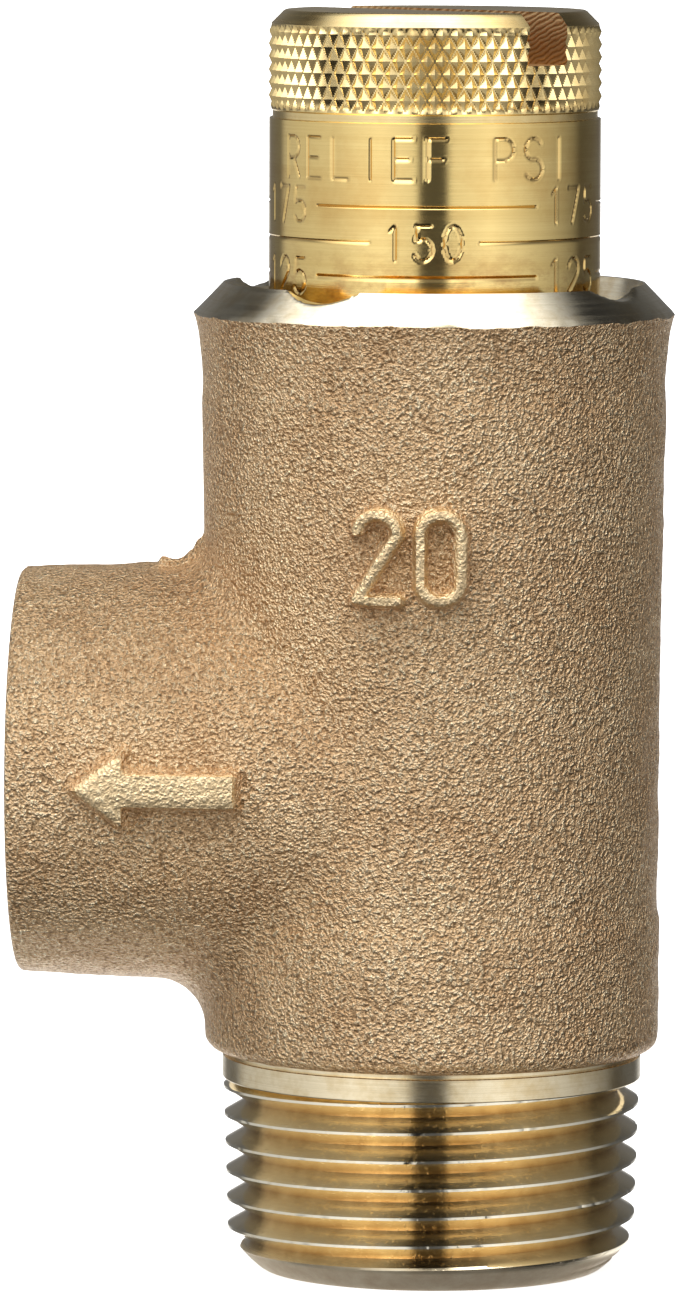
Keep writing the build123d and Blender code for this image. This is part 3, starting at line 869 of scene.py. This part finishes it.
def written(text, bearing, height, size, spacing):
    """Strokes of a line of signs wrapped round the barrel, centred on a bearing and a height."""
    across = (np.arange(len(text)) - (len(text) - 1) / 2) * spacing - 0.28 * size
    middle = math.radians(bearing) * cap_radius
    strokes = []
    for sign, left in zip(text, across):
        for line in signs.get(sign, []):
            strokes.append(line * size + (middle + left, height - size / 2))
    return strokes


def engraved_scale():
    """Every stroke of the scale: three sets of ring lines and figures round the barrel, and a heading."""
    strokes = []
    for mark in range(scale_marks):
        height = scale_top[1] - mark * scale_step
        for turn in range(3):
            bearing = scale_bearing + 120 * turn + (60 if mark % 2 == 0 else 0)
            strokes += written(str(scale_top[0] - 25 * mark), bearing, height, digit_height, 1.86)
            ends = np.radians([bearing + 19, bearing + 101]) * cap_radius
            strokes.append(np.column_stack([np.linspace(*ends, 2), [height, height]]))
    strokes += written("RELIEF PSI", scale_bearing - 1.2, 71.75, letter_height, 2.17)
    strokes += written("RELIEF PSI", scale_bearing + 178.8, 71.75, letter_height, 2.17)
    return strokes


def nearest_stroke(around, heights, strokes):
    """Distance over the unrolled barrel from each point to the nearest stroke, once round and on."""
    girth = 2 * np.pi * cap_radius
    nearest = np.full(around.shape, 9.0)
    for line in strokes:
        middle = (line[:, 0].min() + line[:, 0].max()) / 2
        beside = (around - middle + girth / 2) % girth - girth / 2 + middle
        near = np.abs(beside - middle) < np.ptp(line[:, 0]) / 2 + 1
        near &= np.abs(heights - line[:, 1].mean()) < 2.2
        x, z = beside[near], heights[near]
        best = nearest[near]
        for start, end in zip(line[:-1], line[1:]):
            best = np.minimum(best, from_line(x, z, start, end))
        nearest[near] = best
    return nearest


def scale_brass():
    """The cap's brass with the engraving: darker in the cuts, and stains low on the barrel."""
    material, tree, shader, tint = turned_brass("scale_brass", (0.99, 0.75, 0.31), (0.88, 0.61, 0.23), 180)
    cut = node(tree, "Attribute", attribute_name="engraved").outputs["Fac"]
    low = spread(split(placed(tree))[2], 62.0 * mm, 67.2 * mm, 1, 0)
    clouds = noise(placed(tree, (1, 1, 1.8)), 330, detail=5, rough=0.7)
    soiled = worked("MULTIPLY", low, spread(clouds, 0.47, 0.66, 0, 1))
    stained = blended(soiled, tint, (0.50, 0.27, 0.10))
    coat(shader, blended(cut, stained, (0.74, 0.50, 0.20)))
    return material


def cap_barrel():
    """Closed barrel. Its radius is the turned blank's less the depth of the nearest round-bottomed cut."""
    store, faces = [], []
    angles = np.linspace(0, 2 * np.pi, 601)[:-1]
    rows = np.linspace(56.6, head_bottom_z - 0.05, 150)
    strokes = engraved_scale()
    around, heights = np.broadcast_arrays(angles * cap_radius, rows[:, None])
    distance = nearest_stroke(around, heights, strokes)
    cut_reach = stroke_width * 0.75
    share = np.clip(1 - distance / cut_reach, 0, 1)
    lip = np.exp(-((distance - stroke_width * 0.85) / 0.07) ** 2) * 0.014
    wall = turned(cap_radius - stroke_depth * np.sin(share * np.pi / 2) + lip, heights, angles)
    below = np.array([
        (0, cap_ceiling_z), (cap_bore_radius, cap_ceiling_z), (cap_bore_radius, 62), (cap_bore_radius, 53),
        (cap_bore_radius, cap_bottom_z), (collar_radius - 0.5, cap_bottom_z),
        (collar_radius, cap_bottom_z + 0.5), (collar_radius, collar_top_z - 0.5),
        (collar_radius - 0.5, collar_top_z), (cap_radius, collar_top_z), (cap_radius, collar_top_z + 1.2),
    ])
    above = np.array([(radius, head_bottom_z) for radius in (cap_radius - 0.06, 8, 4, 0)])
    numbers = add_points(store, np.concatenate([turned(*below.T, angles), wall, turned(*above.T, angles)]))
    faces.append((bands(numbers), 0))
    barrel = solid("cap_barrel", store, faces, [scale_brass()], weld=2e-4, sharp=40.0)
    places = np.empty(len(barrel.data.vertices) * 3)
    barrel.data.vertices.foreach_get("co", places)
    places = places.reshape(-1, 3) / mm
    turn = np.arctan2(places[:, 1], places[:, 0])
    outside = np.hypot(places[:, 0], places[:, 1]) > cap_radius - 0.5
    gap = nearest_stroke(turn * cap_radius, places[:, 2], strokes)
    mark = barrel.data.attributes.new("engraved", "FLOAT", "POINT")
    mark.data.foreach_set("value", np.where(outside, np.clip(1 - gap / cut_reach, 0, 1), 0))
    return barrel


barrel = cap_barrel()
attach(barrel, "cap")


# --------------------------------------------------------------------
# Relief spring, coiled from drawn stainless wire. Its end coils close up and are ground flat, and
# it shortens between the ring on the poppet and the button under the cap. The wire is in two lengths
# that meet in a coil.

spring_low, spring_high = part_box("relief_spring")
wire_radius = 1.15
coil_radius = spring_high.x / mm - wire_radius
coils = 10.5
closed_coils = 1.0
ground = 0.55
join_height = 12.0


def relief_spring():
    """Round wire along a helix, in two lengths: the pitch opens from closed end coils, ground flat."""
    low, high = spring_low.z / mm, spring_high.z / mm
    turns = np.linspace(0, coils, 1400)
    shape = np.clip((turns - closed_coils) / (coils - 2 * closed_coils), 0, 1)
    tight = closed_coils * 2 * wire_radius * 1.01
    rise = (np.minimum(turns, closed_coils) + np.maximum(turns - coils + closed_coils, 0)) / closed_coils
    start = low + wire_radius - ground
    end = high - wire_radius + ground
    centre_z = start + rise * tight + shape * (end - start - 2 * tight)
    angle = 2 * np.pi * turns
    around = np.linspace(0, 2 * np.pi, 21)[:-1]
    out = coil_radius + wire_radius * np.cos(around)
    height = centre_z[:, None] + wire_radius * np.sin(around)
    tube = np.stack([
        out * np.cos(angle)[:, None],
        out * np.sin(angle)[:, None],
        np.clip(height, low, high),
    ], axis=-1)
    wire, tree, shader = finish("drawn_wire", (0.62, 0.62, 0.62), roughness=0.26)
    drawn = noise(placed(tree), 900, detail=4, rough=0.7)
    tint = shades(drawn, [(0.3, (0.45, 0.45, 0.46)), (0.7, (0.72, 0.72, 0.72))])
    coat(shader, tint, spread(drawn, 0.3, 0.7, 0.38, 0.2))
    raised(shader, drawn, 0.00002, 0.4)
    join = int(np.argmax(centre_z > low + join_height))
    lengths = []
    for name, part in (("coil_spring_foot", tube[:join + 1]), ("coil_spring_top", tube[join:])):
        ends = [np.repeat(part[k].mean(axis=0)[None, None], len(around), axis=1) for k in (0, -1)]
        store = []
        numbers = add_points(store, np.concatenate([ends[0], part, ends[1]]))
        faces = [(bands(numbers), 0)]
        lengths.append(solid(name, store, faces, [wire], weld=2e-4, sharp=50.0))
    return lengths


foot, top = relief_spring()
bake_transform(foot)
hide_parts("relief_spring")
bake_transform(top)


# --------------------------------------------------------------------
# Working pieces inside: the thrust ball and the button between cap and spring, and the poppet
# with its ring, rubber disc, washer and screw. They are turned, ground or moulded to size.


def worked_metal(name, colour, deep, roughness, grain):
    """Turned or ground metal with tool lines, a cloudy tone and an uneven gloss."""
    material, tree, shader = finish(name, colour, roughness=roughness)
    lines = noise(placed(tree, (200, 200, grain)), 1.0, detail=4, rough=0.7)
    clouds = noise(placed(tree), 500, detail=4, rough=0.6)
    tint = shades(clouds, [(0.3, deep), (0.65, colour)])
    coat(shader, tint, spread(lines, 0.3, 0.7, roughness * 1.4, roughness * 0.8))
    raised(shader, lines, 0.00002, 0.5)
    return material


def moulded_rubber():
    """Silicone rubber: dull brick red with a faint bloom and a fine mould texture."""
    material, tree, shader = finish("moulded_rubber", (0.25, 0.07, 0.05), metallic=0.0, roughness=0.6)
    bloom = noise(placed(tree), 900, detail=4, rough=0.6)
    tint = shades(bloom, [(0.3, (0.20, 0.055, 0.04)), (0.7, (0.30, 0.09, 0.065))])
    coat(shader, tint, spread(bloom, 0.3, 0.7, 0.5, 0.75))
    raised(shader, bloom, 0.00004, 0.4)
    return material


turned_small_brass = worked_metal("turned_small_brass", (0.90, 0.70, 0.34), (0.74, 0.52, 0.22), 0.24, 6000)
ground_steel = worked_metal("ground_steel", (0.62, 0.62, 0.63), (0.48, 0.48, 0.50), 0.28, 9000)
inner_finishes = {
    "thrust_ball": worked_metal("polished_steel", (0.72, 0.72, 0.74), (0.62, 0.62, 0.65), 0.10, 200),
    "upper_spring_button": turned_small_brass,
    "disc_holder": turned_small_brass,
    "spring_rest": ground_steel,
    "disc_washer": ground_steel,
    "disc_screw": ground_steel,
    "seat_disc": moulded_rubber(),
}
for name, material in inner_finishes.items():
    piece = frame["nodes"][name]
    piece.data.materials.clear()
    piece.data.materials.append(material)


# --------------------------------------------------------------------
# Floor, a plain sheet of pale card that the valve stands on.

floor_size = 14.0


def pale_floor():
    """Flat square just under the inlet's end face."""
    half, under = floor_size / 2, cad_box[0].z
    corners = [(-half, -half, under), (half, -half, under), (half, half, under), (-half, half, under)]
    mesh = bpy.data.meshes.new("floor")
    mesh.from_pydata(corners, [], [(0, 1, 2, 3)])
    card, tree, shader = finish("pale_card", (0.93, 0.93, 0.93), metallic=0.0, roughness=0.8)
    fibres = noise(placed(tree), 60, detail=2)
    coat(shader, shades(fibres, [(0.3, (0.925, 0.925, 0.925)), (0.7, (0.935, 0.935, 0.935))]))
    shader.inputs["Emission Color"].default_value = (1, 1, 1, 1)
    shader.inputs["Emission Strength"].default_value = 0.75
    mesh.materials.append(card)
    return shown("floor", mesh)


floor = pale_floor()
floor.visible_glossy = False


# --------------------------------------------------------------------
# Camera and light: a long lens a little above the valve and a little to its right, inside a white
# tent that is dim behind the lens, with a lamp over the front, a lit backdrop low behind the valve
# and an upright gap that the lens looks through.

camera_bearing = 2.75
camera_distance = 0.636
camera_height = 0.0994
camera_pitch = -5.334
camera_yaw = 0.541
camera_roll = 0.18
lens_length = 276.8
bright_azimuths = [
    (-180, 0.16), (-136, 0.14), (-127, 0.46), (-72, 0.68), (-54, 0.86), (-38, 0.97), (-22, 0.84),
    (-13.5, 0.78), (11.5, 0.78), (23, 0.84), (39, 0.97), (56, 0.76), (73, 0.56), (94, 0.36), (112, 0.20),
    (121, 0.08), (180, 0.14),
]
bright_elevations = [
    (-90, 1.0), (-62, 0.30), (-36, 0.46), (-13, 0.95), (12, 0.95), (28, 0.5), (45, 0.2), (90, 0.2),
]
overhead_aim = (-22, 64)
overhead_light = [(0, 3.1), (29, 2.6), (45, 1.1), (61, 0.0), (180, 0.0)]
backdrop_aim = (180, -30)
backdrop_light = [(0, 1.3), (18, 1.0), (32, 0.0), (180, 0.0)]
dark_aim = (8, -50)
dark_patch = [(0, 0.3), (20, 0.4), (38, 1.0), (180, 1.0)]
gap_middle = -0.017
gap_half = 0.148
light_strength = 1.15


def long_lens():
    """Camera a little above the valve, tipped down to its middle."""
    data = bpy.data.cameras.new("camera")
    data.lens = lens_length
    data.clip_start = 0.05
    data.clip_end = 10
    camera = shown("camera", data)
    bearing = math.radians(camera_bearing)
    place = (camera_distance * math.sin(bearing), -camera_distance * math.cos(bearing), camera_height)
    aim = Matrix.Rotation(bearing + math.radians(camera_yaw), 4, "Z")
    tip = Matrix.Rotation(math.radians(90 + camera_pitch), 4, "X")
    roll = Matrix.Rotation(math.radians(camera_roll), 4, "Z")
    camera.matrix_world = Matrix.Translation(place) @ aim @ tip @ roll
    bpy.context.scene.camera = camera


def steps_of(value, table, low, high):
    """A number read from a table of places and values, eased between them."""
    share = spread(value, math.radians(low), math.radians(high), 0, 1)
    stops = [((place - low) / (high - low), (level, level, level)) for place, level in table]
    return shades(share, stops)


def away_from(direction, azimuth, elevation):
    """Angle between a direction and one given by its azimuth from the lens and its elevation."""
    flat, up = math.cos(math.radians(elevation)), math.sin(math.radians(elevation))
    aim = (flat * math.sin(math.radians(azimuth)), -flat * math.cos(math.radians(azimuth)), up)
    return worked("ARCCOSINE", reach(direction, aim))


def light_tent():
    """World whose brightness is a table by azimuth times one by elevation times a dim patch on the table
    before the lens, plus the lamp and the backdrop, all of it times the gap. The patch, the lamp and the
    backdrop are each a table by the angle from its middle."""
    world = bpy.data.worlds.new("light_tent")
    bpy.context.scene.world = world
    world.use_nodes = True
    tree = world.node_tree
    direction = node(tree, "TexCoord").outputs["Generated"]
    inputs = {"Vector": direction, "Angle": math.radians(-camera_bearing)}
    turn = node(tree, "VectorRotate", inputs, rotation_type="Z_AXIS").outputs[0]
    side, depth, lift = split(turn)
    azimuth = worked("ARCTAN2", side, worked("MULTIPLY", depth, -1.0))
    elevation = worked("ARCSINE", lift)
    light = steps_of(azimuth, bright_azimuths, -180, 180)
    upward = steps_of(elevation, bright_elevations, -90, 90)
    patch = steps_of(away_from(turn, *dark_aim), dark_patch, 0, 180)
    overhead = steps_of(away_from(turn, *overhead_aim), overhead_light, 0, 180)
    behind = steps_of(away_from(turn, *backdrop_aim), backdrop_light, 0, 180)
    for part, way in ((upward, "MULTIPLY"), (patch, "MULTIPLY"), (overhead, "ADD"), (behind, "ADD")):
        light = blended(1.0, light, part, way)
    # the gap is as wide all the way up to the roof, and only on the lens's side
    aside = worked("ABSOLUTE", worked("ADD", side, -gap_middle))
    beside = spread(aside, gap_half, gap_half + 0.06, 0.1, 1)
    roof = spread(elevation, math.radians(68), math.radians(75), 0, 1)
    rear = spread(depth, 0, 0.1, 0, 1)
    for wall in (roof, rear):
        beside = worked("MAXIMUM", beside, wall)
    background = tree.nodes["Background"]
    tree.links.new(blended(1.0, light, beside, "MULTIPLY"), background.inputs["Color"])
    background.inputs["Strength"].default_value = light_strength


long_lens()
light_tent()
bpy.context.scene.view_settings.view_transform = "Standard"
